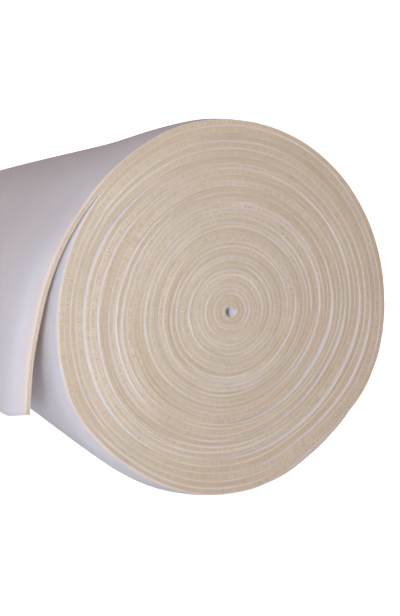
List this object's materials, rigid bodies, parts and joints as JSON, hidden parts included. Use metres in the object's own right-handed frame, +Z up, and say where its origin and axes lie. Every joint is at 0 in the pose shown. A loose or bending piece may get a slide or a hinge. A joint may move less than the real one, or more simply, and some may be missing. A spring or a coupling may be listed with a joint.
{
  "type": "roll of foam stabilizer",
  "caption": "Long sheet of soft fabric-faced foam wound into a tight coreless roll that lies on its side, its outer end hanging loose.",
  "frame": {"origin": "on the surface that the roll rests on, under the roll's axis, at the middle of its length", "axes": "+Y along the roll's axis, from the end with the loose corner in view towards the other end; +Z up; the loose end hangs on the -X side"},
  "size_m": [0.2837, 1.4808, 0.2623],
  "materials": {
    "faced_foam": "white knitted fabric bonded to both sides of soft cream foam, whose cut edges show in the wound end faces; matt"
  },
  "bodies": {
    "root": {"foam_roll": "faced_foam"}
  },
  "joints": []
}
